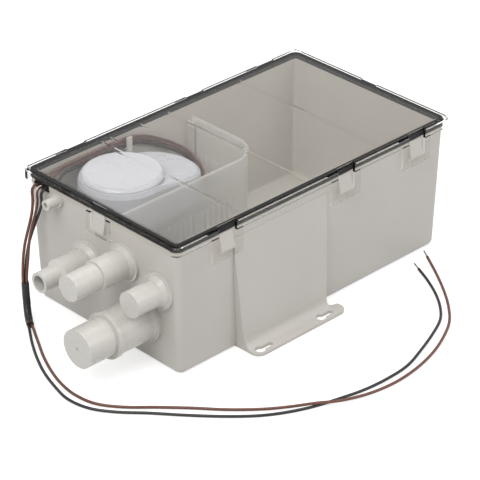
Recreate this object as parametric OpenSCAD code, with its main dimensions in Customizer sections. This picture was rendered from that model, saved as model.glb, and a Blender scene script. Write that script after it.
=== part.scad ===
// Shower sump pump: a drafted tub with a clear clip-on lid, five hose fittings, a
// lift-out strainer screen, a bilge pump with its own float switch, and its wiring.
// Sizes are in millimetres. The origin is the centre of the tub's bottom face, +Z is up,
// the hose fittings are on the -X wall and a mounting foot is on each long side.

/* [Tub] */
// How much shorter the tub is at its base than at its rim
tub_draft_l = 9; // [2:0.5:18]
// How much narrower the tub is at its base than at its rim
tub_draft_w = 5.2; // [1:0.2:10]
// Length of the tub at its rim
tub_top_l = 348; // [346.5:0.5:352]
// Width of the tub at its rim
tub_top_w = 200; // [199.5:0.5:206]
// Height of the tub's rim above the floor
tub_h = 131; // [129:0.5:140]
// Thickness of the tub's side walls
tub_wall = 3.5; // [2.5:0.1:4]
// Thickness of the tub's bottom
tub_floor = 3; // [2:0.1:4]
// Radius of the tub's upright corners
tub_corner_r = 7; // [6:0.5:10]
// Radius of the tub's rounded bottom edge
tub_edge_r = 5; // [2:0.5:5.5]

/* [Feet] */
// Where the feet start along the tub
foot_x0 = -99; // [-110:1:-90]
// Length of each foot's pedestal at the bottom
foot_l = 106; // [98:1:120]
// How far the pedestal's bottom stands out from the tub
foot_depth = 11; // [8:0.5:14]
// Height of the pedestal
foot_h = 118; // [90:1:119]
// How much longer the pedestal is at its top, on each side
foot_flare = 7; // [0:0.5:9]
// Wall of the hollow pedestal
foot_wall = 2.5; // [2:0.1:3]
// How far the flange reaches out from the tub
flange_reach = 28.5; // [26:0.5:34]
// How far the flange runs on past the pedestal
flange_extra = 11; // [6:0.5:16]
// Thickness of the flange
flange_t = 3; // [2:0.1:4]
// Radius of the flange's outer corners
flange_r = 9; // [5:0.5:10]
// Distance between the two keyholes of a foot
keyhole_pitch = 79; // [70:1:84]
// Radius of the keyhole's round end
keyhole_r = 4.75; // [4:0.05:5.5]
// Half width of the keyhole's slot
keyhole_slot_r = 2.4; // [2:0.1:2.8]
// Length of the slot from the middle of the round end
keyhole_slot_l = 13; // [9:0.5:15]

/* [Lid] */
// Thickness of the lid's plate
lid_t = 3; // [2:0.1:4]
// Thickness of the skirt round the lid
skirt_t = 2.8; // [2.5:0.1:4]
// Gap between the tub's rim and the skirt
skirt_gap = 1.2; // [1.1:0.1:1.5]
// How far the skirt hangs below the tub's rim
skirt_drop = 2.5; // [1:0.5:4]
// Width of the lid's gasket
gasket_w = 4.5; // [4:0.5:6]
// Thickness of the gasket
gasket_t = 5; // [4:0.1:6]
// Thickness of the lip under the lid, inside the gasket
lid_lip_t = 1.2; // [1:0.1:1.6]
// Width of the window in a snap loop
latch_window = 22; // [18:0.5:24]
// Width of a snap loop's leg
latch_leg = 8; // [4:0.5:9]
// Thickness of a snap loop
latch_t = 2.4; // [1.5:0.1:2.8]
// Height of the lowest edge of a snap loop
latch_low = 104; // [100:0.5:107]
// Height of a catch's lower edge
catch_low = 112; // [110:0.5:115]
// Width of a catch
catch_w = 16; // [12:0.5:17]
// Depth of the stiffening ribs under the lid
lid_rib_d = 3; // [3:0.5:7]
// Thickness of the stiffening ribs
lid_rib_t = 1.6; // [1.5:0.1:3]

/* [Hose fittings] */
// Outer radius of the discharge tip
discharge_r = 10; // [9:0.1:11]
// Bore radius of the discharge fitting
discharge_bore_r = 7.2; // [6:0.1:7.8]
// Reach of the discharge fitting from the tub's wall
discharge_reach = 59; // [54:1:64]
// Outer radius of the stepped inlet's tip
stepped_tip_r = 12.6; // [12:0.1:13]
// Outer radius of the stepped inlet's body
stepped_body_r = 14.7; // [14:0.1:15.5]
// Reach of the stepped inlet from the tub's wall
stepped_reach = 67; // [60:1:72]
// Outer radius of the small inlet
small_r = 12.6; // [11:0.1:13]
// Reach of the small inlet from the tub's wall
small_reach = 36; // [30:1:42]
// Outer radius of the large inlet
large_r = 18.7; // [17.5:0.1:19.5]
// Reach of the large inlet from the tub's wall
large_reach = 79; // [72:1:84]
// Wall thickness of the inlets
inlet_wall = 2.2; // [1.6:0.1:3]
// Outer radius of the vent nipple
vent_r = 5; // [4:0.1:5.5]
// Bore radius of the vent nipple
vent_bore_r = 2.5; // [1.5:0.1:3]

/* [Strainer screen] */
// Thickness of the screen
screen_t = 2; // [1.4:0.1:2.4]
// Height of the screen's top edge above the tub's bottom face
screen_top = 120; // [112:0.5:122]
// Radius of the screen's bend
screen_bend_r = 33; // [26:0.5:38]
// Width of a slot in the screen
screen_slot_w = 1.6; // [1:0.1:2.5]
// Distance between the slots
screen_pitch = 7; // [6:0.5:10]

/* [Pump] */
// Distance from the tub's left end to the pump's axis
pump_from_left = 65.5; // [65:0.5:67.5]
// Distance from the tub's back side to the pump's axis
pump_from_back = 48; // [47.6:0.2:49]
// Radius of the pump's strainer foot
foot_body_r = 42.2; // [41.6:0.2:43]
// Radius of the float chamber's end
float_end_r = 37; // [35:0.5:38]
// Distance from the pump's axis to the float's axis
float_d = 50; // [49.5:0.5:53]
// Height of the strainer foot
base_h = 27; // [22:0.5:28]
// Radius of the pump's body
body_r = 33; // [32:0.5:35]
// Height of the volute
volute_h = 20; // [19.5:0.5:21]
// Radius of the motor's can
can_r = 24; // [22:0.5:25]
// Radius of the cap's widest part
cap_r = 43; // [42:0.5:44]
// Radius of the cap's raised top
cap_top_r = 39; // [36:0.5:40]
// Radius of the round label
label_r = 35; // [30:0.5:36]
// Radius of the impeller
impeller_r = 22; // [18:0.5:24]
// Radius of the motor's shaft
shaft_r = 2; // [1.5:0.1:2.5]
// Radius of the float
float_r = 13; // [10:0.5:14]
// Height that the float rises
float_travel = 12; // [6:0.5:14]

/* [Wires] */
// Diameter of the insulated wires
wire_d = 2.8; // [2.4:0.1:2.9]
// Radius of the splice sleeve
sleeve_r = 3.8; // [3.5:0.1:4]
// Diameter of the bare conductor
conductor_d = 1.6; // [1:0.1:2]

/* [Hidden] */

$fn = 64;
// Steps round each of the tub's corners and up its rounded bottom edge
corner_steps = 8;
edge_steps = 4;
// Sides of a swept wire, and the direction that its first side faces
sweep_sides = 8;
sweep_start = [0.6, -0.8, 0.1];
// Overrun of a cut past the face that it opens
over = 1;
// Overlap that joins two solids of one piece
skin = 0.02;
// Clearance between pieces that are pushed together
fit_gap = 0.15;
// Clearance between pieces that move past each other
run_gap = 0.3;
// Radial clearance of a shaft in its bearing
shaft_gap = 0.05;

// Tub: the walls lean out up to draft_h and the rim above it is upright
rim_h = 4;
inner_corner_r = tub_corner_r - tub_wall;
inner_edge_r = inner_corner_r - over;
tub_base_l = tub_top_l - tub_draft_l;
tub_base_w = tub_top_w - tub_draft_w;
draft_h = tub_h - rim_h;
draft_x = (tub_top_l - tub_base_l) / 2 / draft_h;
draft_y = (tub_top_w - tub_base_w) / 2 / draft_h;
function half_l(z) = tub_base_l / 2 + min(z, draft_h) * draft_x;
function half_w(z) = tub_base_w / 2 + min(z, draft_h) * draft_y;

// Feet
foot_side_y = tub_base_w / 2 + foot_depth;
foot_crest = 0.5;
foot_crest_y = half_w(foot_h) + foot_crest;
foot_fillet = 8;
foot_fillet_back = foot_depth / 4;
foot_out_y = tub_base_w / 2 + flange_reach;
keyhole_edge = 2.5;
keyhole_y = foot_out_y - keyhole_r - keyhole_edge;
keyhole_x0 = foot_x0 + flange_r;
function keyhole_x(i) = keyhole_x0 + i * keyhole_pitch;

// Lid
gasket_top = tub_h + gasket_t;
lid_top = gasket_top + lid_t;
skirt_low = tub_h - skirt_drop;
lid_l = tub_top_l + 2 * (skirt_gap + skirt_t);
lid_w = tub_top_w + 2 * (skirt_gap + skirt_t);
lid_corner_r = (tub_corner_r + skirt_gap + skirt_t) / 2;
gasket_inset = -1;
// Step round the lid's top edge
lid_edge_h = 2.5;
lid_edge_in = 2;
notch_extra = 0.5;
latch_gap = 1.5;
latch_w = latch_window + 2 * latch_leg;
end_latch_w = 32;
end_latch_low = 108;
end_window = 20;
catch_proud = 0.5;
catch_depth = latch_gap + latch_t + catch_proud;
catch_top = tub_h - over;
catch_lip = 2;
// Places of the latches along the long sides, as shares of the tub's rim length
latch_shares = [-0.332, 0.102, 0.378];
// Places of the ribs under the lid, as shares of the tub's rim length
lid_rib_shares = [-0.262, -0.019, 0.256];
// Places of the small webs at the lid's back edge, as shares of the tub's rim length
lid_web_shares = [-0.23, -0.12];
lid_web_l = 14;
lid_lip_d = 2.2;

// Hose fittings: place across the tub and height of each axis
discharge_at = [21, 72.5];
stepped_at = [-30, 92.5];
small_at = [-75, 82];
large_at = [-52, 44];
vent_at = [58, tub_h - 10];
root_t = 3;
root_blend = 6;
root_inset = 1.5;
neck_proud = 2;
end_t = 2;
discharge_body_r = 14;
discharge_root_r = 20;
discharge_step = 37;
discharge_cone = 3;
discharge_barb = 8;
barb_r = 9.5;
stepped_step = 36;
stepped_root_r = 19;
small_root_r = 18;
large_root_r = 24;
large_base_r = 21.3;
large_collar_r = 22.5;
large_collar_at = 43;
large_collar_t = 5;
large_neck_r = 18;
vent_root_r = 6.8;
vent_root_t = 3.5;
vent_reach = 16;
vent_neck_r = 4;
neck_cut = 1.5;
dimple_r = 2;
dimple_d = 0.8;

// Pump: heights from the tub's floor upwards
pump_x = -tub_base_l / 2 + pump_from_left;
pump_y = tub_base_w / 2 - pump_from_back;
float_x = pump_x + float_d;
base_top = tub_floor + base_h;
volute_low = base_top + flange_t;
volute_top = base_top + volute_h;
column_top = 86;
base_t = 2;
base_wall = 2.4;
slot_count = 26;
slot_w = 3;
tab_t = 2;
tab_w = 10;
tab_hook = 1.6;
tab_rise = 3;
peg_r = 3;
peg_h = 4.5;
peg_d = 28;
retainer_r = 7;
retainer_t = 1;
deck_t = 3;
volute_r = 36;
volute_bore_r = 26;
eye_r = 11;
seal_r = 6;
seal_h = 3.5;
shaft_hole_r = 3;
nozzle_off = pump_y - discharge_at[0];
nozzle_bore_r = 6.8;
nozzle_end = 43;
nozzle_z = base_top + volute_h / 2;
nozzle_rise = 18;
hose_low = nozzle_z + barb_r + over;
elbow_r = 10.5;
elbow_h = 15;
elbow_bore_r = 7.1;
hose_wall = 2;
float_bore_r = 15.5;
float_rest = 36;
float_h = 22;
stem_r = 3;
stem_foot_t = 2;
// The column is drawn in at the float's end, so the foot's tab can hook over its flange
column_end_r = float_end_r - tab_hook - run_gap;

// Motor inside the pump's body
can_wall = 1.5;
can_low = volute_top + deck_t;
can_top = 105;
bush_r = 5;
bush_h = 6;
plate_t = 3;
magnet_t = 3;
magnet_low = 62;
magnet_h = 28;
magnet_gap = 10;
armature_r = 15;
armature_low = 63;
armature_h = 26;
armature_slots = 10;
armature_slot_w = 2;
armature_slot_d = 4;
comm_r = 6;
comm_low = 91;
comm_h = 5;
brush_w = 4;
brush_h = 4;
brush_l = 7;
holder_t = 1.6;
holder_hole_r = 8;
vane_count = 5;
vane_t = 1.6;
vane_h = 6;
impeller_t = 2;
hub_r = 5;
impeller_low = volute_low + over;

// Cap over the motor and the float
cap_wall = 2.2;
cap_skirt_h = 5;
cap_shoulder = 118;
cap_dome = 122.5;
cap_top = 126;
cap_shoulder_drop = 1.2;
cap_dome_r = 40;
cap_end_drop = 9;
cap_end_r = 33;
cap_edge = 2;
// Steps round the big arc and the small arc of the cap
cap_steps = 48;
cap_end_steps = 16;
label_t = 0.4;

// Strainer screen: it runs from the back wall, bends round the pump and meets the left wall
screen_from_float = 42;
screen_from_pump = 10.2;
screen_x = float_x + float_end_r + screen_from_float;
screen_y = pump_y - foot_body_r - screen_from_pump;
screen_low = tub_floor + run_gap;
screen_rim_t = 3.2;
screen_end_gap = 1.8;
screen_rim_h = 2.5;
slot_low = 14;
slot_high = 84;
guide_t = 2.5;
guide_d = 6;
guide_h = 112;

// Discharge hose and its clamps
clamp_w = 6;
clamp_t = 0.9;
clamp_box = [7, 7, 5];
clamp_screw_r = 2.2;
clamp_screw_l = 12;

// Wire hook on the tub's back wall
hook_share = -0.172;
hook_w = 6;
hook_d = 8.5;
hook_t = 2;
hook_low = tub_h - 19;
hook_high = tub_h - 1;

// Grommet in the notch of the left wall
grommet_y0 = 70.5;
grommet_y1 = 90.5;
grommet_low = tub_h - 7.5;
grommet_lip = 1.5;

// Gland on the float end of the pump
gland_r = 7.5;
gland_l = 4;
gland_z = 72;
gland_flat = 2;

// Wires inside the tub
wire_step = 3.8;
brown_inner_start = [[-167.6, 86.6, 126.8], [-166, 86.6, 126.8], [-161, 87.8, 127.2], [-152, 90.8, 127.4],
                     [-138, 92.6, 127.4]];
striped_inner_start = [[-167.6, 80.2, 126.8], [-166, 80.3, 126.8], [-161, 82.2, 126], [-151, 88.6, 124.4],
                       [-137, 92.4, 124.2]];
black_inner_start = [[-167.6, 73.9, 126.8], [-166, 74, 126.8], [-161, 76.2, 125.2], [-152, 82.8, 121.8],
                     [-138, 91, 120.6]];
inner_run = [[-118, 92.8, 124], [-97, 92.8, 124], [-60, 92.8, 123.5], [-40, 92.2, 119], [-18, 90.8, 108],
             [-2, 86.8, 98], [7, 79.5, 90], [10, 70, 83], [8, 60.5, 77.5], [1.5, 52.8, 73.6]];
inner_end_x = float_x + column_end_r + gland_l - gland_flat;

// Wires outside the tub, each from where it leaves a piece to its far end
brown_pump_route = [[-175.3, 86.6, 126.8], [-176.1, 86.6, 126.8], [-178.9, 86.6, 126.1], [-181, 86.6, 124],
                    [-181.7, 86.5, 121.2], [-181.9, 85.9, 113], [-183.6, 85.4, 102], [-187, 85, 92],
                    [-191.2, 84.6, 82], [-195.3, 83.9, 72], [-199.3, 82.2, 60], [-202.4, 80, 48],
                    [-203.8, 78.6, 41], [-203.8, 78.6, 37]];
striped_pump_route = [[-175.3, 80.2, 126.8], [-176.1, 80.2, 126.8], [-178.9, 80.2, 126.1], [-181, 80.2, 124],
                      [-181.7, 80, 121.2], [-182, 79.4, 113], [-184, 79.8, 103], [-187.4, 80.2, 93],
                      [-190.9, 80.2, 83], [-193.8, 79.7, 73], [-196.9, 78.3, 60], [-200, 76.9, 48],
                      [-201.4, 76.2, 41], [-201.4, 76.2, 37]];
black_pump_route = [[-175.3, 73.9, 126.8], [-176.1, 73.9, 126.8], [-178.9, 73.9, 126.1], [-181, 73.9, 124],
                    [-181.6, 73.8, 121.2], [-180.9, 74.4, 113], [-180.9, 78, 103], [-183.2, 80.9, 93],
                    [-187.3, 81.9, 83], [-191.3, 82.4, 73], [-195.6, 81.7, 60], [-198.6, 80.4, 48],
                    [-200.6, 79.4, 41], [-200.6, 79.4, 37]];
sleeve_route = [[-202, 78, 37], [-202, 78, 31], [-202.6, 77, 23], [-204.4, 74, 14.5], [-207.4, 69.4, 8.2],
                [-211.4, 62.8, 4.3], [-214.6, 57.6, 4.3]];
black_supply_route = [[-216.1, 58.5, 3.6], [-216.9, 57.2, 3.6], [-219.2, 53.4, 2.8], [-223.5, 47, 1.7],
                      [-232, 34, 1.45],
                      [-243, 15, 1.45], [-254, -8, 1.45], [-262, -32, 1.45], [-267, -56, 1.45],
                      [-263, -80, 1.45], [-250, -101, 1.45], [-230, -123, 1.45], [-209, -148, 1.45],
                      [-187, -172, 1.45], [-165, -192, 1.45], [-143, -206, 1.45], [-120, -216, 1.45],
                      [-95, -223, 1.45], [-68, -229, 1.45], [-40, -231, 1.45], [-12, -229, 1.45],
                      [16, -220, 1.45], [44, -209, 1.45], [66, -198, 1.45], [82, -184, 1.45],
                      [97, -165, 1.45], [110, -143, 1.45], [120, -122, 1.45]];
brown_supply_route = [[-213.1, 56.7, 3.6], [-213.9, 55.4, 3.6], [-215.8, 51.2, 2.8], [-219.5, 44.5, 1.7],
                      [-227, 31, 1.45],
                      [-237.5, 12, 1.45], [-247.5, -10, 1.45], [-255, -33, 1.45], [-258, -56, 1.45],
                      [-254, -79, 1.45], [-240, -100, 1.45], [-219, -121, 1.45], [-199, -142, 1.45],
                      [-178, -166, 1.45], [-156, -187, 1.7], [-138, -203, 3.4], [-118, -216.8, 4.6],
                      [-97, -228, 3], [-70, -236, 1.5], [-41, -240, 1.45], [-11, -238, 1.45],
                      [19, -231, 1.45], [46, -220, 1.45], [70, -206, 1.45], [90, -187, 1.45],
                      [108, -165, 1.45], [126, -139, 1.45], [143, -112, 1.45]];
black_end_route = [[120, -122, 1.45], [122.6, -116.6, 1.45], [124.6, -112, 1.45]];
brown_end_route = [[143, -112, 1.45], [146.4, -106.6, 1.45], [149, -102.4, 1.45]];

// Outline of two circles joined along their outer tangents, the small one on +X.
// The straight sides lie just inside the tangents, so that they cut the circles cleanly.
module teardrop(big_r, small_r, gap) {
    lean = acos((big_r - small_r) / gap);
    big_in = big_r - skin;
    small_in = small_r - skin;
    circle(big_r);
    translate([gap, 0]) circle(small_r);
    polygon([[big_in * cos(lean), big_in * sin(lean)],
             [gap + small_in * cos(lean), small_in * sin(lean)],
             [gap + small_in * cos(lean), -small_in * sin(lean)],
             [big_in * cos(lean), -big_in * sin(lean)]]);
}

// Rectangle with round corners, centred
module round_rect(l, w, r) {
    square([l - 2 * r, w], center = true);
    square([l, w - 2 * r], center = true);
    for (sx = [-1, 1], sy = [-1, 1])
        translate([sx * (l / 2 - r), sy * (w / 2 - r)]) circle(r);
}

// Solid through a stack of rings with equal counts of points, listed from the lowest up.
// The top is flat over the first points of its ring, up to split, and flat again over the rest.
module lofted(rings, split) {
    n = len(rings[0]);
    top = (len(rings) - 1) * n;
    low_face = [[for (k = [0:n - 1]) k]];
    side = [for (i = [0:len(rings) - 2], k = [0:n - 1])
        let (a = i * n + k, b = i * n + (k + 1) % n)
        each [[a, a + n, b], [b, a + n, b + n]]];
    top_face = [[for (k = [split - 1:-1:0]) top + k]];
    rest_face = split == n ? [] : [concat([top], [for (k = [n - 1:-1:split - 1]) top + k])];
    polyhedron(points = [for (r = rings) each r], faces = concat(low_face, side, top_face, rest_face));
}

// Outline of the tub at one height, set in from its outside, with its corners drawn in further
function tub_ring(inset, z, corner_r, drawn_in) =
    [for (c = [0:3], k = [0:corner_steps])
        let (a = 90 * (c + k / corner_steps), sx = c == 0 || c == 3 ? 1 : -1, sy = c < 2 ? 1 : -1)
        [sx * (half_l(z) - inset - corner_r) + (corner_r - drawn_in) * cos(a),
         sy * (half_w(z) - inset - corner_r) + (corner_r - drawn_in) * sin(a), z]];
// Block with the tub's draft, set in from its outside, with a rounded bottom edge
module drafted_block(inset, z_low, z_high, corner_r, edge_r)
    lofted(concat([for (i = [0:edge_steps]) let (turn = 90 * i / edge_steps)
                       tub_ring(inset, z_low + edge_r * (1 - cos(turn)), corner_r,
                                edge_r * (1 - sin(turn)))],
                  [for (z = [draft_h, z_high]) tub_ring(inset, z, corner_r, 0)]),
           4 * (corner_steps + 1));

// Places its children on the left wall, with +Z outwards
module on_left_wall(at) translate([-half_l(at[1]), at[0], at[1]]) rotate([0, -90, 0]) children();
// The room inside the left wall's outer face
module inside_left_wall()
    translate([-tub_base_l / 2, -tub_top_w / 2, 0]) rotate([0, -atan(draft_x), 0])
        cube([tub_base_l, tub_top_w, 2 * tub_h]);
// What a fitting shows outside the wall: a root disc blended to its body
module fitting_root(at, root_r, body_r)
    difference() {
        on_left_wall(at) translate([0, 0, -over]) {
            cylinder(r = root_r, h = root_t + over);
            cylinder(r1 = root_r, r2 = body_r, h = root_t + root_blend + over - root_inset);
        }
        inside_left_wall();
    }
// A fitting's body from the wall outwards, cut by the wall's face
module fitting_body(at, r, reach)
    difference() {
        on_left_wall(at) translate([0, 0, -over]) cylinder(r = r, h = reach + over);
        inside_left_wall();
    }
// The part of a fitting that goes through the wall's hole
module fitting_neck(at, r, inside)
    on_left_wall(at) translate([0, 0, -tub_wall - inside]) cylinder(r = r, h = tub_wall + inside + root_t);
// Bore of a fitting from inside the tub, to a given reach
module fitting_bore(at, r, inside, reach)
    on_left_wall(at) translate([0, 0, -tub_wall - inside - over])
        cylinder(r = r, h = tub_wall + inside + over + reach);

// Places its children at the pump's axis
module at_pump() translate([pump_x, pump_y, 0]) children();
// Upright tube of the pump's axis between two heights
module pump_tube(outer_r, inner_r, z_low, z_high)
    at_pump() translate([0, 0, z_low]) difference() {
        cylinder(r = outer_r, h = z_high - z_low);
        translate([0, 0, -over]) cylinder(r = inner_r, h = z_high - z_low + 2 * over);
    }

// Sweep of a tube along a route, with frames carried along it
function unit(v) = v / norm(v);
function heading(p, i) = unit(p[min(i + 1, len(p) - 1)] - p[max(i - 1, 0)]);
function across(n, t) = unit(n - (n * t) * t);
function carried(p, n, i = 0) =
    i == len(p) ? [] : let (m = across(n, heading(p, i))) concat([m], carried(p, m, i + 1));
function ring(p, i, n, r) =
    let (t = heading(p, i), b = cross(t, n))
    [for (k = [0:sweep_sides - 1]) let (a = 360 * k / sweep_sides) p[i] + r * (cos(a) * n + sin(a) * b)];
module swept_tube(p, r) {
    n = carried(p, sweep_start);
    lofted([for (i = [0:len(p) - 1]) ring(p, i, n[i], r)], sweep_sides);
}

// Hollow pedestal of the back foot, drawn in by a given amount for its hollow
module pedestal(inset, low) {
    top = foot_h - inset;
    wall_y = tub_base_w / 2 - tub_wall / 2;
    intersection() {
        translate([foot_x0 - foot_flare, 0, 0]) rotate([90, 0, 90])
            linear_extrude(foot_l + 2 * foot_flare)
                polygon([[wall_y, low], [foot_side_y - inset, low],
                         [foot_crest_y - inset, top], [wall_y, top]]);
        rotate([90, 0, 180]) translate([0, 0, wall_y]) linear_extrude(foot_side_y)
            polygon([[-foot_x0 - inset, low], [-foot_x0 + foot_flare - inset, top],
                     [-foot_x0 - foot_l - foot_flare + inset, top], [-foot_x0 - foot_l + inset, low]]);
    }
}
// Flange of the back foot
module flange() {
    x1 = foot_x0 + foot_l + flange_extra;
    linear_extrude(flange_t) difference() {
        union() {
            translate([foot_x0, tub_base_w / 2 - tub_wall])
                square([x1 - foot_x0 - flange_r, flange_reach + tub_wall - flange_r]);
            translate([foot_x0 + flange_r, tub_base_w / 2 - tub_wall])
                square([x1 - foot_x0 - 2 * flange_r, flange_reach + tub_wall]);
            for (x = [foot_x0 + flange_r, x1 - flange_r])
                translate([x, foot_out_y - flange_r]) circle(flange_r);
        }
        // Hollow curve where the flange runs out past the pedestal
        translate([foot_x0 + foot_l + flange_r, foot_side_y - foot_depth / 2]) circle(flange_r);
        translate([foot_x0 + foot_l, tub_base_w / 2 - tub_wall - over])
            square([flange_extra + over, foot_depth / 2 + tub_wall + over]);
    }
}
// Hollow curve between the pedestal and its flange
module foot_fillet_strip()
    difference() {
        translate([foot_x0, foot_side_y - foot_fillet_back, flange_t - skin])
            cube([foot_l, foot_fillet + foot_fillet_back, foot_fillet]);
        translate([foot_x0 - over, foot_side_y + foot_fillet, flange_t + foot_fillet])
            rotate([0, 90, 0]) cylinder(r = foot_fillet, h = foot_l + 2 * over);
    }
module keyholes()
    for (i = [0, 1]) translate([keyhole_x(i), keyhole_y, -over]) {
        cylinder(r = keyhole_r, h = flange_t + 2 * over);
        translate([0, -keyhole_slot_r, 0]) cube([keyhole_slot_l, 2 * keyhole_slot_r, flange_t + 2 * over]);
        translate([keyhole_slot_l, 0, 0]) cylinder(r = keyhole_slot_r, h = flange_t + 2 * over);
    }

// Wedge that a snap loop hooks under, standing on +Y of its place
module catch(w)
    translate([-w / 2, 0, 0]) rotate([90, 0, 90]) linear_extrude(w)
        polygon([[-tub_wall / 2, catch_low], [catch_depth, catch_low], [catch_depth, catch_low + catch_lip],
                 [over, catch_top], [-tub_wall / 2, catch_top]]);
// Places its children at every latch of the long sides, with +Y outwards from the rim
module at_side_latches(y)
    for (side = [0, 180], share = latch_shares)
        rotate([0, 0, side]) translate([(side == 0 ? 1 : -1) * share * tub_top_l, y, 0]) children();
// Places its children at the latch of each short side
module at_end_latches(x)
    for (side = [-90, 90]) rotate([0, 0, side]) translate([0, x, 0]) children();

// Rails that hold the screen's two ends
module screen_guides() {
    room = screen_t / 2 + run_gap;
    back_y = half_w(0) - tub_wall;
    left_x = -half_l(0) + tub_wall;
    for (s = [-1, 1]) {
        translate([screen_x + s * (room + guide_t / 2) - guide_t / 2, back_y - guide_d, tub_floor - skin])
            cube([guide_t, guide_d + tub_wall, guide_h]);
        translate([-tub_top_l / 2, screen_y + s * (room + guide_t / 2) - guide_t / 2, tub_floor - skin])
            cube([left_x + guide_d + tub_top_l / 2, guide_t, guide_h]);
    }
}

// Hook that holds the inner wires to the back wall
module wire_hook() {
    x = hook_share * tub_top_l - hook_w / 2;
    y = half_w(hook_low) - tub_wall;
    translate([x, y - hook_d, hook_low]) cube([hook_w, hook_d + tub_wall / 2, hook_t]);
    translate([x, y - hook_d, hook_low]) cube([hook_w, hook_t, hook_high - hook_low]);
}

module sump_tub()
    color("#cbc8be") difference() {
        union() {
            drafted_block(0, 0, tub_h, tub_corner_r, tub_edge_r);
            for (s = [0, 1]) mirror([0, s, 0]) {
                pedestal(0, 0);
                flange();
                foot_fillet_strip();
            }
            at_side_latches(tub_top_w / 2) catch(catch_w);
            at_end_latches(tub_top_l / 2) catch(catch_w);
        }
        difference() {
            drafted_block(tub_wall, tub_floor, tub_h + over, inner_corner_r, inner_edge_r);
            screen_guides();
            wire_hook();
            for (s = [-1, 1]) peg(s);
        }
        for (s = [0, 1]) mirror([0, s, 0]) {
            difference() {
                pedestal(foot_wall, -over);
                translate([-tub_base_l / 2, -half_w(foot_h), -2 * over])
                    cube([tub_base_l, 2 * half_w(foot_h), tub_h]);
            }
            keyholes();
        }
        fitting_neck_hole(discharge_at, barb_r);
        fitting_neck_hole(stepped_at, stepped_tip_r);
        fitting_neck_hole(small_at, small_r - neck_cut);
        fitting_neck_hole(large_at, large_neck_r);
        fitting_neck_hole(vent_at, vent_neck_r);
        // Notch for the grommet
        translate([-half_l(tub_h) - over, grommet_y0, grommet_low])
            cube([tub_wall + 2 * over, grommet_y1 - grommet_y0, tub_h - grommet_low + over]);
    }
module fitting_neck_hole(at, r)
    on_left_wall(at) translate([0, 0, -2 * tub_wall]) cylinder(r = r + fit_gap, h = 3 * tub_wall);
// Peg that the pump's strainer foot drops over
module peg(s)
    translate([pump_x, pump_y + s * peg_d, tub_floor - skin]) cylinder(r = peg_r, h = peg_h + base_t);

module lid()
    color("#dfe6ea", 0.4) {
        difference() {
            union() {
                translate([0, 0, gasket_top])
                    linear_extrude(lid_t - lid_edge_h) round_rect(lid_l, lid_w, lid_corner_r);
                translate([0, 0, gasket_top + skin]) linear_extrude(lid_t - skin)
                    round_rect(lid_l - 2 * lid_edge_in, lid_w - 2 * lid_edge_in, lid_corner_r - lid_edge_in);
                translate([0, 0, skirt_low]) linear_extrude(gasket_top - skirt_low + skin)
                    difference() {
                        round_rect(lid_l, lid_w, lid_corner_r);
                        round_rect(tub_top_l + 2 * skirt_gap, tub_top_w + 2 * skirt_gap,
                                   tub_corner_r + skirt_gap);
                    }
            }
            at_side_latches(tub_top_w / 2) latch_notch(latch_window);
            at_end_latches(tub_top_l / 2) latch_notch(end_window);
        }
        lip_in = gasket_inset + gasket_w + run_gap;
        lip_r = tub_corner_r - lip_in;
        translate([0, 0, gasket_top - lid_lip_d]) linear_extrude(lid_lip_d + skin) difference() {
            round_rect(tub_top_l - 2 * lip_in, tub_top_w - 2 * lip_in, lip_r);
            round_rect(tub_top_l - 2 * (lip_in + lid_lip_t), tub_top_w - 2 * (lip_in + lid_lip_t), lip_r - lid_lip_t);
        }
        rib_l = tub_top_w - 2 * (lip_in + over);
        for (share = lid_rib_shares)
            translate([share * tub_top_l - lid_rib_t / 2, -rib_l / 2, gasket_top - lid_rib_d])
                cube([lid_rib_t, rib_l, lid_rib_d + skin]);
        for (share = lid_web_shares)
            translate([share * tub_top_l - lid_rib_t / 2, rib_l / 2, gasket_top + skin]) rotate([90, 0, 90])
                linear_extrude(lid_rib_t) polygon([[0, 0], [-lid_web_l, 0], [0, -lid_rib_d]]);
    }
module latch_notch(w)
    translate([-w / 2, -notch_extra - gasket_inset, skirt_low - over])
        cube([w, lid_w, lid_top - skirt_low + 2 * over]);

module snap_loop(w, window, low)
    translate([-w / 2, latch_gap, 0]) difference() {
        translate([0, 0, low]) cube([w, latch_t, skirt_low - low]);
        translate([(w - window) / 2, -over, catch_low - run_gap])
            cube([window, latch_t + 2 * over, tub_h]);
    }
module lid_snap_loops()
    color("#e4eaee", 0.4) {
        at_side_latches(tub_top_w / 2) snap_loop(latch_w, latch_window, latch_low);
        at_end_latches(tub_top_l / 2) snap_loop(end_latch_w, end_window, end_latch_low);
    }

module lid_gasket()
    color("#1c1c1e") translate([0, 0, tub_h]) linear_extrude(gasket_t) {
        l = tub_top_l - 2 * gasket_inset;
        w = tub_top_w - 2 * gasket_inset;
        difference() {
            round_rect(l, w, tub_corner_r - gasket_inset);
            round_rect(l - 2 * gasket_w, w - 2 * gasket_w, tub_corner_r - gasket_inset - gasket_w);
        }
    }

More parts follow.
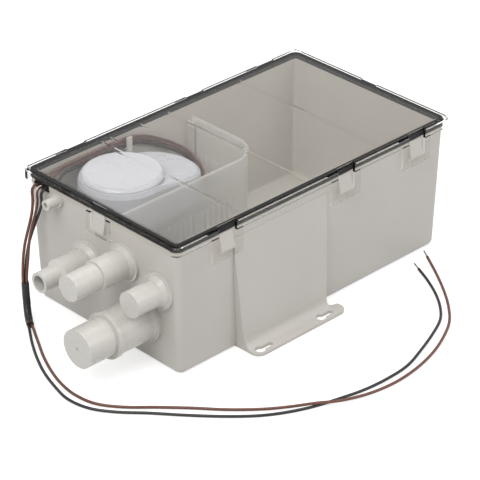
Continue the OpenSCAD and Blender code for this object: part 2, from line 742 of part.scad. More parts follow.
// The screen's outline as a band of a given thickness about its middle line
module screen_band(t, back_end, left_end) {
    cx = screen_x - screen_bend_r;
    cy = screen_y + screen_bend_r;
    translate([screen_x - t / 2, cy]) square([t, back_end - cy]);
    translate([left_end, screen_y - t / 2]) square([cx - left_end, t]);
    intersection() {
        translate([cx, cy]) difference() {
            circle(screen_bend_r + t / 2);
            circle(screen_bend_r - t / 2);
        }
        translate([cx, screen_y - t]) square([screen_bend_r + t, screen_bend_r + t]);
    }
}
module strainer_screen()
    color("#e9eef0", 0.6) {
        back_end = half_w(0) - tub_wall - screen_end_gap;
        left_end = -half_l(0) + tub_wall + screen_end_gap;
        rim_back = back_end - guide_d - over;
        rim_left = left_end + guide_d + over;
        difference() {
            translate([0, 0, screen_low]) linear_extrude(screen_top - screen_low)
                screen_band(screen_t, back_end, left_end);
            for (x = [left_end + 2 * guide_d:screen_pitch:screen_x - screen_bend_r])
                translate([x, screen_y - screen_t, slot_low])
                    cube([screen_slot_w, 2 * screen_t, slot_high - slot_low]);
            for (y = [screen_y + screen_bend_r + screen_pitch:screen_pitch:back_end - 2 * guide_d])
                translate([screen_x - screen_t, y, slot_low])
                    cube([2 * screen_t, screen_slot_w, slot_high - slot_low]);
        }
        translate([0, 0, screen_top - screen_rim_h]) linear_extrude(screen_rim_h)
            screen_band(screen_rim_t, rim_back, rim_left);
    }

module discharge_spigot()
    color("#dfdcd4") difference() {
        union() {
            fitting_root(discharge_at, discharge_root_r, discharge_body_r);
            fitting_body(discharge_at, discharge_body_r, discharge_step);
            on_left_wall(discharge_at) translate([0, 0, discharge_step])
                cylinder(r1 = discharge_body_r, r2 = discharge_r, h = discharge_cone);
            fitting_body(discharge_at, discharge_r, discharge_reach);
            fitting_neck(discharge_at, barb_r, discharge_barb);
        }
        fitting_bore(discharge_at, discharge_bore_r, discharge_barb, discharge_reach + over);
    }

module stepped_inlet()
    color("#e2dfd7") difference() {
        union() {
            fitting_root(stepped_at, stepped_root_r, stepped_body_r);
            fitting_body(stepped_at, stepped_body_r, stepped_step);
            fitting_body(stepped_at, stepped_tip_r, stepped_reach);
            fitting_neck(stepped_at, stepped_tip_r, neck_proud);
        }
        fitting_bore(stepped_at, stepped_tip_r - inlet_wall, neck_proud, stepped_reach - end_t);
    }

module small_inlet()
    color("#e2dfd7") difference() {
        union() {
            fitting_root(small_at, small_root_r, small_r);
            fitting_body(small_at, small_r, small_reach);
            fitting_neck(small_at, small_r - neck_cut, neck_proud);
        }
        fitting_bore(small_at, small_r - inlet_wall - neck_cut / 2, neck_proud, small_reach - end_t);
    }

module large_inlet()
    color("#e2dfd7") difference() {
        union() {
            fitting_root(large_at, large_root_r, large_base_r);
            fitting_body(large_at, large_base_r, large_collar_at);
            on_left_wall(large_at) translate([0, 0, large_collar_at])
                cylinder(r = large_collar_r, h = large_collar_t);
            fitting_body(large_at, large_r, large_reach);
            fitting_neck(large_at, large_neck_r, neck_proud);
        }
        fitting_bore(large_at, large_r - inlet_wall, neck_proud, large_reach - end_t);
        on_left_wall(large_at) translate([0, 0, large_reach - dimple_d]) cylinder(r = dimple_r, h = end_t);
    }

module vent_nipple()
    color("#d6d3ca") difference() {
        union() {
            fitting_body(vent_at, vent_root_r, vent_root_t);
            fitting_body(vent_at, vent_r, vent_reach);
            fitting_neck(vent_at, vent_neck_r, 0);
        }
        fitting_bore(vent_at, vent_bore_r, 0, vent_reach + over);
    }

module pump_strainer_foot()
    color("#d8dbe0") {
        at_pump() difference() {
            translate([0, 0, tub_floor]) linear_extrude(base_h) teardrop(foot_body_r, float_end_r, float_d);
            translate([0, 0, tub_floor + base_t]) linear_extrude(base_h)
                teardrop(foot_body_r - base_wall, float_end_r - base_wall, float_d);
            for (i = [0:slot_count - 1]) rotate([0, 0, 360 * i / slot_count + 180 / slot_count])
                translate([body_r, -slot_w / 2, tub_floor + 2 * base_t])
                    cube([foot_body_r, slot_w, base_h - 4 * base_t]);
            for (s = [-1, 1]) translate([0, s * peg_d, 0])
                cylinder(r = peg_r + fit_gap, h = tub_floor + 2 * base_t);
        }
        at_pump() {
            foot_tab(-foot_body_r, -1);
            foot_tab(float_d + float_end_r, 1);
        }
    }
// Springy tab that holds the pump's body down on its strainer foot
module foot_tab(x, side)
    translate([x, -tab_w / 2, 0]) mirror([side < 0 ? 1 : 0, 0, 0]) {
        translate([-base_wall / 2, 0, base_top - 2 * tab_rise])
            cube([base_wall / 2 + run_gap + tab_t, tab_w, tab_rise]);
        translate([run_gap, 0, base_top - 2 * tab_rise])
            cube([tab_t, tab_w, 2 * tab_rise + flange_t + tab_rise]);
        translate([-tab_hook, 0, volute_low + run_gap]) cube([tab_hook + run_gap + skin, tab_w, tab_hook]);
    }

module foot_retainers()
    color("#b9bcc0") for (s = [-1, 1])
        translate([pump_x, pump_y + s * peg_d, tub_floor + base_t]) difference() {
            cylinder(r = retainer_r, h = retainer_t);
            translate([0, 0, -over]) cylinder(r = peg_r, h = retainer_t + 2 * over);
        }

module pump_housing()
    color("#d3d7de") difference() {
        union() {
            at_pump() {
                translate([0, 0, base_top]) linear_extrude(flange_t)
                    teardrop(foot_body_r, float_end_r, float_d);
                translate([0, 0, base_top]) linear_extrude(column_top - base_top)
                    teardrop(body_r, column_end_r, float_d);
                translate([0, 0, base_top]) cylinder(r = volute_r, h = volute_h);
                translate([0, 0, column_top - deck_t]) linear_extrude(deck_t)
                    teardrop(cap_r, float_end_r + over, float_d);
            }
            nozzle();
        }
        at_pump() {
            translate([0, 0, base_top - over]) cylinder(r = eye_r, h = flange_t + 2 * over);
            translate([0, 0, volute_low]) cylinder(r = volute_bore_r, h = volute_h - flange_t);
            translate([0, 0, volute_top - over]) cylinder(r = shaft_hole_r, h = deck_t + 2 * over);
            translate([0, 0, volute_top - over]) cylinder(r = seal_r, h = seal_h - base_t + over);
            translate([0, 0, can_low]) cylinder(r = can_r + fit_gap, h = column_top);
            translate([float_d, 0, base_top - over])
                cylinder(r = float_bore_r, h = column_top - base_top - deck_t + over);
        }
        nozzle_bore();
    }
// Outlet of the volute: level to the left into a round elbow, then up to the hose's barb
module at_nozzle() translate([pump_x, pump_y - nozzle_off, nozzle_z]) children();
module nozzle()
    at_nozzle() {
        rotate([0, -90, 0]) cylinder(r = barb_r, h = nozzle_end);
        translate([-nozzle_end, 0, base_top - nozzle_z]) cylinder(r = elbow_r, h = elbow_h);
        translate([-nozzle_end, 0, 0]) cylinder(r = barb_r, h = nozzle_rise);
    }
module nozzle_bore()
    at_nozzle() {
        rotate([0, -90, 0]) cylinder(r = nozzle_bore_r, h = nozzle_end);
        translate([-nozzle_end, 0, -elbow_bore_r])
            cylinder(r = elbow_bore_r, h = nozzle_rise + elbow_bore_r + over);
    }

module impeller()
    color("#2f6f9f") at_pump() translate([0, 0, impeller_low]) difference() {
        union() {
            translate([0, 0, vane_h]) cylinder(r = impeller_r, h = impeller_t);
            cylinder(r = hub_r, h = vane_h + impeller_t);
            for (i = [0:vane_count - 1]) rotate([0, 0, 360 * i / vane_count])
                translate([hub_r - skin, -vane_t / 2, 0])
                    cube([impeller_r - hub_r - vane_t, vane_t, vane_h + skin]);
        }
        translate([0, 0, -over]) cylinder(r = shaft_r, h = vane_h + impeller_t + 2 * over);
    }
module shaft_seal()
    color("#222224")
        pump_tube(seal_r, shaft_r + shaft_gap, volute_top - base_t, volute_top - base_t + seal_h - fit_gap);
module motor_shaft()
    color("#b8bcc2") at_pump() translate([0, 0, impeller_low])
        cylinder(r = shaft_r, h = can_top - over - impeller_low);
module armature()
    color("#8d6a45") at_pump() translate([0, 0, armature_low]) difference() {
        cylinder(r = armature_r, h = armature_h);
        translate([0, 0, -over]) cylinder(r = shaft_r, h = armature_h + 2 * over);
        for (i = [0:armature_slots - 1]) rotate([0, 0, 360 * i / armature_slots])
            translate([armature_r - armature_slot_d, -armature_slot_w / 2, -over])
                cube([2 * armature_slot_d, armature_slot_w, armature_h + 2 * over]);
    }
module commutator()
    color("#b87333") pump_tube(comm_r, shaft_r, comm_low, comm_low + comm_h);
module lower_bushing()
    color("#a8804a") pump_tube(bush_r, shaft_r + shaft_gap, can_low, can_low + bush_h);
module upper_bushing()
    color("#a8804a") pump_tube(bush_r, shaft_r + shaft_gap, can_top - bush_h, can_top);
module motor_end_plate()
    color("#9a9da1") pump_tube(can_r - can_wall - fit_gap, bush_r, can_low, can_low + plate_t);
module motor_magnets()
    color("#3a3a3d") difference() {
        pump_tube(can_r - can_wall, can_r - can_wall - magnet_t, magnet_low, magnet_low + magnet_h);
        at_pump() translate([-can_r, -magnet_gap / 2, magnet_low - over])
            cube([2 * can_r, magnet_gap, magnet_h + 2 * over]);
    }
module motor_can()
    color("#a9adb2") {
        pump_tube(can_r, can_r - can_wall, can_low, can_top);
        pump_tube(can_r - skin, bush_r, can_top - can_wall, can_top);
    }
module brush_holder()
    color("#4a3a2c")
        pump_tube(can_r - can_wall - fit_gap, holder_hole_r,
                  comm_low + brush_h, comm_low + brush_h + holder_t);
module motor_brushes()
    color("#2a2a2c") for (s = [0, 180]) at_pump() rotate([0, 0, s])
        translate([comm_r + shaft_gap + fit_gap, -brush_w / 2, comm_low]) cube([brush_l, brush_w, brush_h]);

// Outline of the cap at one level: a big arc round the motor and a small one round the float,
// whose height may differ
function cap_ring(big_r, small_r, big_z, small_z) =
    let (lean = acos((big_r - small_r) / float_d), fold = big_r * cos(lean))
    concat([for (k = [0:cap_steps]) let (a = lean + (360 - 2 * lean) * k / cap_steps)
                [big_r * cos(a), big_r * sin(a), big_z]],
           [for (k = [0:cap_end_steps]) let (a = -lean + 2 * lean * k / cap_end_steps,
                                             x = float_d + small_r * cos(a))
                [x, small_r * sin(a), big_z + (small_z - big_z) * (x - fold) / (float_d - fold)]]);
// Solid of the cap, drawn in by a given amount for its hollow
module cap_form(inset, low) {
    big = cap_r - inset;
    small = float_end_r - inset;
    wall_top = column_top + cap_skirt_h;
    lofted([cap_ring(big, small, low, low), cap_ring(big, small, wall_top, wall_top),
            cap_ring(big - cap_shoulder_drop, small - cap_shoulder_drop,
                     cap_shoulder - inset, cap_shoulder - cap_end_drop + cap_shoulder_drop - inset),
            cap_ring(cap_dome_r - inset, cap_end_r - inset,
                     cap_dome - inset, cap_dome - cap_end_drop - inset)],
           cap_steps + 1);
}
module motor_cap()
    color("#eceef4") at_pump() {
        difference() {
            cap_form(0, column_top);
            cap_form(cap_wall, column_top - over);
        }
        translate([0, 0, cap_dome - over])
            cylinder(r = cap_top_r, h = cap_top - cap_dome - cap_edge + over);
        translate([0, 0, cap_top - cap_edge])
            cylinder(r1 = cap_top_r, r2 = cap_top_r - cap_edge, h = cap_edge);
    }
module cap_label()
    color("#f4f5f8") at_pump() translate([0, 0, cap_top]) cylinder(r = label_r, h = label_t);

module float()
    color("#e8823a") translate([float_x, pump_y, float_rest]) difference() {
        cylinder(r = float_r, h = float_h);
        translate([0, 0, -over]) cylinder(r = stem_r + shaft_gap, h = float_h + 2 * over);
    }
module float_stem()
    color("#f0f0f0") translate([float_x, pump_y, float_rest - stem_foot_t]) {
        cylinder(r = stem_r, h = column_top - deck_t - float_rest + stem_foot_t);
        cylinder(r = 2 * stem_r, h = stem_foot_t);
        // Stop over the float
        translate([0, 0, stem_foot_t + float_h + float_travel + run_gap])
            cylinder(r = 2 * stem_r, h = stem_foot_t);
    }

module discharge_hose()
    color("#2b2b2d") difference() {
        hose_path(barb_r + hose_wall, 0);
        hose_path(barb_r, over);
    }
// Hose from the pump's outlet up to the discharge fitting, as a solid of one radius
module hose_path(r, extra) {
    nozzle_x = pump_x - nozzle_end;
    wall_x = -half_l(discharge_at[1]) + tub_wall + run_gap;
    bend_r = nozzle_x - wall_x - clamp_w - 2 * over;
    translate([nozzle_x, pump_y - nozzle_off, hose_low - extra])
        cylinder(r = r, h = discharge_at[1] - bend_r - hose_low + extra);
    translate([nozzle_x - bend_r, pump_y - nozzle_off, discharge_at[1] - bend_r])
        rotate([90, 0, 0]) rotate_extrude(angle = 90) translate([bend_r, 0]) circle(r);
    translate([wall_x - extra, pump_y - nozzle_off, discharge_at[1]])
        rotate([0, 90, 0]) cylinder(r = r, h = nozzle_x - bend_r - wall_x + extra);
}
module hose_clamp() {
    outer = barb_r + hose_wall;
    difference() {
        union() {
            cylinder(r = outer + clamp_t, h = clamp_w);
            translate([outer, -clamp_box[1] / 2, 0]) cube([clamp_box[2], clamp_box[1], clamp_w]);
            translate([outer + clamp_box[2] / 2, -clamp_screw_l / 2, clamp_w / 2])
                rotate([-90, 0, 0]) cylinder(r = clamp_screw_r, h = clamp_screw_l);
        }
        translate([0, 0, -over]) cylinder(r = outer, h = clamp_w + 2 * over);
    }
}
module lower_hose_clamp()
    color("#b4b8bd") translate([pump_x - nozzle_end, pump_y - nozzle_off, hose_low + over])
        rotate([0, 0, -90]) hose_clamp();
module upper_hose_clamp()
    color("#b4b8bd")
        translate([-half_l(discharge_at[1]) + tub_wall + 2 * over, pump_y - nozzle_off, discharge_at[1]])
            rotate([0, 90, 0]) rotate([0, 0, 180]) hose_clamp();

module cable_grommet()
    color("#232325") {
        wall = half_l(grommet_low);
        y0 = grommet_y0 + fit_gap;
        y1 = grommet_y1 - fit_gap;
        translate([-wall - grommet_lip, y0, grommet_low + fit_gap])
            cube([tub_wall + 2 * grommet_lip + over, y1 - y0, skirt_low - grommet_low - 2 * fit_gap]);
        translate([-wall, y0, grommet_low + fit_gap])
            cube([tub_wall + over, y1 - y0, tub_h - grommet_low - fit_gap]);
    }
module pump_cable_gland()
    color("#232325") difference() {
        translate([float_x + column_end_r - gland_flat, pump_y, gland_z])
            rotate([0, 90, 0]) cylinder(r = gland_r, h = gland_l);
        translate([float_x, pump_y, 0]) cylinder(r = column_end_r, h = column_top);
    }

// Inner wires, one above the other along the back wall and into the pump's gland
module inner_wire(start, rise)
    swept_tube(concat(start, [for (p = inner_run) p + [0, 0, rise]],
                      [[inner_end_x + over, pump_y, gland_z + rise], [inner_end_x, pump_y, gland_z + rise]]),
               wire_d / 2);
module inner_brown_wire() color("#6b3f2a") inner_wire(brown_inner_start, wire_step);
module inner_striped_wire() color("#8a6a58") inner_wire(striped_inner_start, 0);
module inner_black_wire() color("#1b1b1c") inner_wire(black_inner_start, -wire_step);

module pump_lead_brown() color("#6b3f2a") swept_tube(brown_pump_route, wire_d / 2);
module pump_lead_striped() color("#8a6a58") swept_tube(striped_pump_route, wire_d / 2);
module pump_lead_black() color("#1b1b1c") swept_tube(black_pump_route, wire_d / 2);
module splice_sleeve() color("#161617") swept_tube(sleeve_route, sleeve_r);
module supply_lead_black() color("#1b1b1c") swept_tube(black_supply_route, wire_d / 2);
module supply_lead_brown() color("#6b3f2a") swept_tube(brown_supply_route, wire_d / 2);
module black_bare_end() color("#b9b6ae") swept_tube(black_end_route, conductor_d / 2);
module brown_bare_end() color("#b9b6ae") swept_tube(brown_end_route, conductor_d / 2);

sump_tub();
lid();
lid_snap_loops();
lid_gasket();
strainer_screen();
discharge_spigot();
stepped_inlet();
small_inlet();
large_inlet();
vent_nipple();
pump_strainer_foot();
foot_retainers();
pump_housing();
impeller();
shaft_seal();
motor_shaft();
armature();
commutator();
lower_bushing();
upper_bushing();
motor_end_plate();
motor_magnets();
motor_can();
brush_holder();
motor_brushes();
motor_cap();
cap_label();
float();
float_stem();
discharge_hose();
lower_hose_clamp();
upper_hose_clamp();
cable_grommet();
pump_cable_gland();
inner_brown_wire();
inner_striped_wire();
inner_black_wire();
pump_lead_brown();
pump_lead_striped();
pump_lead_black();
splice_sleeve();
supply_lead_black();
supply_lead_brown();
black_bare_end();
brown_bare_end();
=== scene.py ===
import math

import bpy
from mathutils import Matrix, Vector


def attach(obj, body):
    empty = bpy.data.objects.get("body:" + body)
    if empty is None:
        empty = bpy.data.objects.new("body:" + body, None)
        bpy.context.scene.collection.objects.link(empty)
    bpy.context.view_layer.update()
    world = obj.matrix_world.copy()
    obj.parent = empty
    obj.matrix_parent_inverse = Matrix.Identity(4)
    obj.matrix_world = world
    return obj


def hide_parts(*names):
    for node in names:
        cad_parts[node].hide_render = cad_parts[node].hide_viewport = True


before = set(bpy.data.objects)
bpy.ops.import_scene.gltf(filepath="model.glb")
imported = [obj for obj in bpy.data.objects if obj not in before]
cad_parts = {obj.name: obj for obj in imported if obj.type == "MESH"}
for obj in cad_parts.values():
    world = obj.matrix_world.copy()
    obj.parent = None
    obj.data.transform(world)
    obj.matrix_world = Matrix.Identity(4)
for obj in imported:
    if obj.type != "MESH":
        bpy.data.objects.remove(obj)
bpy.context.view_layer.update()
scene = bpy.context.scene
MM = 0.001

# ---------------------------------------------------------------- camera
LENS, SENSOR = 188.41, 36            # mm
AZIMUTH, ELEVATION, ROLL = (math.radians(a) for a in (-43.98, 30.34, -0.17))
TARGET = Vector((-39.636, -40.392, 64.8)) * MM
DISTANCE = 2334.85 * MM
NEAREST, FURTHEST = 0.05, 30         # the camera's clipping, m


def towards(azimuth, elevation):
    """The unit vector from the object to a place at these angles, in radians; azimuth 0 is at -Y."""
    return Vector((math.sin(azimuth) * math.cos(elevation),
                   -math.cos(azimuth) * math.cos(elevation), math.sin(elevation)))


def make_camera():
    back = towards(AZIMUTH, ELEVATION)
    right = (-back).cross(Vector((0, 0, 1))).normalized()
    up = right.cross(-back)
    side = right * math.cos(ROLL) + up * math.sin(ROLL)
    top = up * math.cos(ROLL) - right * math.sin(ROLL)
    data = bpy.data.cameras.new("camera")
    data.lens, data.sensor_width = LENS, SENSOR
    data.clip_start, data.clip_end = NEAREST, FURTHEST
    camera = bpy.data.objects.new("camera", data)
    scene.collection.objects.link(camera)
    turn = Matrix((side, top, back)).transposed().to_4x4()
    camera.matrix_world = Matrix.Translation(TARGET + back * DISTANCE) @ turn
    scene.camera = camera


make_camera()


# ---------------------------------------------------------------- paths and tubes
SHARP = math.radians(40)             # edges turned by more than this stay sharp


def smooth(points, step=2.2):
    """A Catmull-Rom curve through the points, in mm, as points about step apart, in metres."""
    p = [Vector(q) for q in points]
    p = [p[0] * 2 - p[1], *p, p[-1] * 2 - p[-2]]
    out = []
    for a, b, c, d in zip(p, p[1:], p[2:], p[3:]):
        count = max(1, round((c - b).length / step))
        for i in range(count):
            t = i / count
            out.append(0.5 * ((2 * b) + (c - a) * t + (2 * a - 5 * b + 4 * c - d) * t * t
                              + (3 * b - a - 3 * c + d) * t ** 3))
    out.append(p[-2])
    return [q * MM for q in out]


def length_of(path):
    return sum((b - a).length for a, b in zip(path, path[1:]))


def sections(path):
    """Two unit normals at each point of the path, carried along it without twist."""
    heading = [(b - a).normalized() for a, b in zip(path, path[1:])]
    heading = [heading[0], *[(a + b).normalized() for a, b in zip(heading, heading[1:])], heading[-1]]
    normal = heading[0].orthogonal().normalized()
    for h in heading:
        normal = (normal - h * normal.dot(h)).normalized()
        yield normal, h.cross(normal)


def tube(name, path, radius, sides=14, form=None, twist=0.0):
    """A closed tube along the path with a UV map: u is the length in metres, v the turn round it.
    form(share, angle) gives the radius as a share of radius, where the section isn't round.
    twist is how far the section turns, in radians a metre."""
    total = length_of(path)
    verts, along, run = [], [], 0.0
    for i, (p, (a, b)) in enumerate(zip(path, sections(path))):
        run += (p - path[i - 1]).length if i else 0.0
        along.append(run)
        for k in range(sides):
            angle = 2 * math.pi * k / sides
            r = radius * (form(run / total, angle) if form else 1.0)
            turned = angle + twist * run
            verts.append(p + (a * math.cos(turned) + b * math.sin(turned)) * r)
    faces, uv = [], []
    for i in range(len(path) - 1):
        for k in range(sides):
            n = (k + 1) % sides
            faces.append((i * sides + k, i * sides + n, (i + 1) * sides + n, (i + 1) * sides + k))
            uv += [(along[i], k / sides), (along[i], (k + 1) / sides),
                   (along[i + 1], (k + 1) / sides), (along[i + 1], k / sides)]
    last = (len(path) - 1) * sides
    faces += [tuple(reversed(range(sides))), tuple(range(last, last + sides))]
    uv += [(0, 0)] * sides + [(total, 0)] * sides
    return mesh_piece(name, verts, faces, uv)


def mesh_piece(name, verts, faces, uv=None, flat=False):
    data = bpy.data.meshes.new(name)
    data.from_pydata([tuple(v) for v in verts], [], faces)
    if uv:
        layer = data.uv_layers.new(name="UVMap")
        for loop, co in zip(layer.data, uv):
            loop.uv = co
    data.validate()
    data.update()
    if flat:
        data.shade_flat()
    else:
        data.shade_smooth()
        data.set_sharp_from_angle(angle=SHARP)
    piece = bpy.data.objects.new(name, data)
    scene.collection.objects.link(piece)
    return piece


# ---------------------------------------------------------------- cords
SUMP = "sump"
WIRE = 2.8 * MM                      # across a lead's insulation
WIRE_TWIST = 22
INNER_SIDES = 12
SLEEVE = 7.6 * MM
SLEEVE_SIDES, SLEEVE_STEP, SLEEVE_TWIST = 24, 1.2, 18
SLEEVE_MEAN, SLEEVE_DRAWN = 0.965, 0.035     # shares of its radius: the mean, and how deep it shrinks
LIP_DRAWN, LIP_RUNS = 0.1, 24        # how far its ends draw in, over one part in 24 of its length
STRANDS, STRAND = 6, 0.56 * MM       # strands round a core strand, and a strand's thickness
STRAND_SIDES, STRAND_STEP = 8, 0.8
STRAND_PACK, STRAND_LAY = 0.93, 0.36         # how close they lie, and their turn at each point, in radians


# The routes outside the tub are part.scad's, in mm
def lead_bend(y):
    """How a pump lead leaves the grommet and turns down."""
    return [(-175.3, y, 126.8), (-176.1, y, 126.8), (-178.9, y, 126.1), (-181, y, 124)]


pump_routes = {
    "brown": lead_bend(86.6) + [
        (-181.7, 86.5, 121.2), (-181.9, 85.9, 113), (-183.6, 85.4, 102), (-187, 85, 92), (-191.2, 84.6, 82),
        (-195.3, 83.9, 72), (-199.3, 82.2, 60), (-202.4, 80, 48), (-203.8, 78.6, 41), (-203.8, 78.6, 37)],
    "striped": lead_bend(80.2) + [
        (-181.7, 80, 121.2), (-182, 79.4, 113), (-184, 79.8, 103), (-187.4, 80.2, 93), (-190.9, 80.2, 83),
        (-193.8, 79.7, 73), (-196.9, 78.3, 60), (-200, 76.9, 48), (-201.4, 76.2, 41), (-201.4, 76.2, 37)],
    "black": lead_bend(73.9) + [
        (-181.6, 73.8, 121.2), (-180.9, 74.4, 113), (-180.9, 78, 103), (-183.2, 80.9, 93), (-187.3, 81.9, 83),
        (-191.3, 82.4, 73), (-195.6, 81.7, 60), (-198.6, 80.4, 48), (-200.6, 79.4, 41), (-200.6, 79.4, 37)],
}
sleeve_route = [(-202, 78, 37), (-202, 78, 31), (-202.6, 77, 23), (-204.4, 74, 14.5), (-207.4, 69.4, 8.2),
                (-211.4, 62.8, 4.3), (-214.6, 57.6, 4.3)]
supply_routes = {
    "black": [(-216.1, 58.5, 3.6), (-216.9, 57.2, 3.6), (-219.2, 53.4, 2.8), (-223.5, 47, 1.7),
              (-232, 34, 1.45), (-243, 15, 1.45), (-254, -8, 1.45), (-262, -32, 1.45), (-267, -56, 1.45),
              (-263, -80, 1.45), (-250, -101, 1.45), (-230, -123, 1.45), (-209, -148, 1.45),
              (-187, -172, 1.45), (-165, -192, 1.45), (-143, -206, 1.45), (-120, -216, 1.45),
              (-95, -223, 1.45), (-68, -229, 1.45), (-40, -231, 1.45), (-12, -229, 1.45), (16, -220, 1.45),
              (44, -209, 1.45), (66, -198, 1.45), (82, -184, 1.45), (97, -165, 1.45), (110, -143, 1.45),
              (120, -122, 1.45)],
    "brown": [(-213.1, 56.7, 3.6), (-213.9, 55.4, 3.6), (-215.8, 51.2, 2.8), (-219.5, 44.5, 1.7),
              (-227, 31, 1.45), (-237.5, 12, 1.45), (-247.5, -10, 1.45), (-255, -33, 1.45), (-258, -56, 1.45),
              (-254, -79, 1.45), (-240, -100, 1.45), (-219, -121, 1.45), (-199, -142, 1.45),
              (-178, -166, 1.45), (-156, -187, 1.7), (-138, -203, 3.4), (-118, -216.8, 4.6), (-97, -228, 3),
              (-70, -236, 1.5), (-41, -240, 1.45), (-11, -238, 1.45), (19, -231, 1.45), (46, -220, 1.45),
              (70, -206, 1.45), (90, -187, 1.45), (108, -165, 1.45), (126, -139, 1.45), (143, -112, 1.45)],
}
end_routes = {
    "black": [(120, -122, 1.45), (122.6, -116.6, 1.45), (124.6, -112, 1.45)],
    "brown": [(143, -112, 1.45), (146.4, -106.6, 1.45), (149, -102.4, 1.45)],
}


def sleeve_form(share, angle):
    """Shrunk over three leads at the top and two at the bottom, with a rounded lip at each end."""
    lobes = 3 if share < 0.5 else 2
    drawn = SLEEVE_DRAWN * math.cos(lobes * angle)
    lip = (1 - LIP_DRAWN) + LIP_DRAWN * min(1.0, share * LIP_RUNS, (1 - share) * LIP_RUNS)
    return (SLEEVE_MEAN + drawn) * lip


def bare_tip(colour):
    """The bare end of a supply lead: twisted strands round a core strand, as one piece."""
    core = smooth(end_routes[colour], STRAND_STEP)
    strands = [tube(f"{colour}_strand_core", core, STRAND / 2, STRAND_SIDES)]
    ring = STRAND * STRAND_PACK
    for k in range(STRANDS):
        turned = []
        for i, (p, (a, b)) in enumerate(zip(core, sections(core))):
            angle = 2 * math.pi * k / STRANDS + i * STRAND_LAY
            turned.append(p + (a * math.cos(angle) + b * math.sin(angle)) * ring)
        strands.append(tube(f"{colour}_strand_{k}", turned, STRAND / 2, STRAND_SIDES))
    with bpy.context.temp_override(active_object=strands[0], selected_editable_objects=strands):
        bpy.ops.object.join()
    strands[0].name = f"{colour}_tip"
    return strands[0]


sleeve = tube("shrink_sleeve", smooth(sleeve_route, SLEEVE_STEP), SLEEVE / 2, SLEEVE_SIDES, sleeve_form,
              twist=SLEEVE_TWIST)
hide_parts("splice_sleeve")
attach(sleeve, SUMP)

leads = {}
for colour, route in pump_routes.items():
    path = smooth(route)
    lead = tube(f"{colour}_lead", path, WIRE / 2, twist=WIRE_TWIST)
    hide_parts(f"pump_lead_{colour}")
    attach(lead, SUMP)
    length_of(path)
    leads[colour] = lead

supply = {}
for colour, route in supply_routes.items():
    path = smooth(route)
    lead = tube(f"{colour}_supply", path, WIRE / 2)
    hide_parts(f"supply_lead_{colour}")
    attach(lead, SUMP)
    tip = bare_tip(colour)
    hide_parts(f"{colour}_bare_end")
    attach(tip, SUMP)
    length_of(path)
    supply[colour] = (lead, tip)

# The wires from the grommet towards the pump's gland: each has its own start, and its own rise over the run
# that the three share. The run ends 4.5 mm short of the gland's face, which part.scad's wires reach.
inner_run = [(-118, 92.8, 124), (-97, 92.8, 124), (-60, 92.8, 123.5), (-40, 92.2, 119), (-18, 90.8, 108),
             (-2, 86.8, 98), (7, 79.5, 90), (10, 70, 83), (8, 60.5, 77.5), (1.5, 52.8, 73.6), (-11.4, 49.4, 72),
             (-12.4, 49.4, 72)]
inner_starts = {
    "brown": (3.8, [(-167.6, 86.6, 126.8), (-166, 86.6, 126.8), (-161, 87.8, 127.2), (-152, 90.8, 127.4),
                    (-138, 92.6, 127.4)]),
    "striped": (0, [(-167.6, 80.2, 126.8), (-166, 80.3, 126.8), (-161, 82.2, 126), (-151, 88.6, 124.4),
                    (-137, 92.4, 124.2)]),
    "black": (-3.8, [(-167.6, 73.9, 126.8), (-166, 74, 126.8), (-161, 76.2, 125.2), (-152, 82.8, 121.8),
                     (-138, 91, 120.6)]),
}
inner = {}
for colour, (rise, start) in inner_starts.items():
    path = smooth(start + [(x, y, z + rise) for x, y, z in inner_run])
    wire = tube(f"{colour}_inner", path, WIRE / 2, INNER_SIDES, twist=WIRE_TWIST)
    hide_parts(f"inner_{colour}_wire")
    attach(wire, SUMP)
    inner[colour] = wire


# ---------------------------------------------------------------- materials
GLOSS = 0.35                         # how strongly the moulded surfaces mirror
MOTTLE = (0.25, 0.5, 0.78)           # where a mottle's darker, plain and lighter colours stand on its ramp
SPECK_SIZE, SPECK_SHADE, SPECK_SHARE = 3, 0.955, 0.5     # in grains, how dark, and how strong at most
GLOSS_PATCH = 0.4                    # size of the patches of gloss, as a share of the mottle's
SMUDGE_MM, STAINS = 16, (0.2, 0.6, 0.85)     # the stained, plain and bright places on a metal's ramp
LINE_ROUGH, LINE_GLOSS, SMUDGE_DULL, SMUDGE_BRIGHT = 0.7, 0.09, 0.08, 0.04
DRAW_SCALE, DRAW_STRETCH, DRAW_DEPTH = 9, (1.5, 3, 1), 0.02      # a lead's draw lines over its UV map
LEAD_MOTTLE_MM, LEAD_STOPS, LEAD_SHADES = 9, (0.3, 0.72), (0.86, 1.13)
LEAD_GRAIN, LEAD_GLOSS_MM = (0.5, 0.006), 4
LEAD_ROUGH, LEAD_BRIGHT, LEAD_DULL = 0.38, 0.08, 0.1
STRIPE_FROM, STRIPE_TO, STRIPE_WAVER = 0.29, 0.58, 0.02          # turns round the lead
STRIPE_WAVER_MM = 2.4


def srgb(*rgb):
    """An 8-bit colour as the linear one that a shader takes."""
    return tuple(c / 12.92 if c <= 0.04045 else ((c + 0.055) / 1.055) ** 2.4 for c in (v / 255 for v in rgb))


def shade(colour, by):
    return (*[min(1.0, c * by) for c in colour[:3]], 1.0)


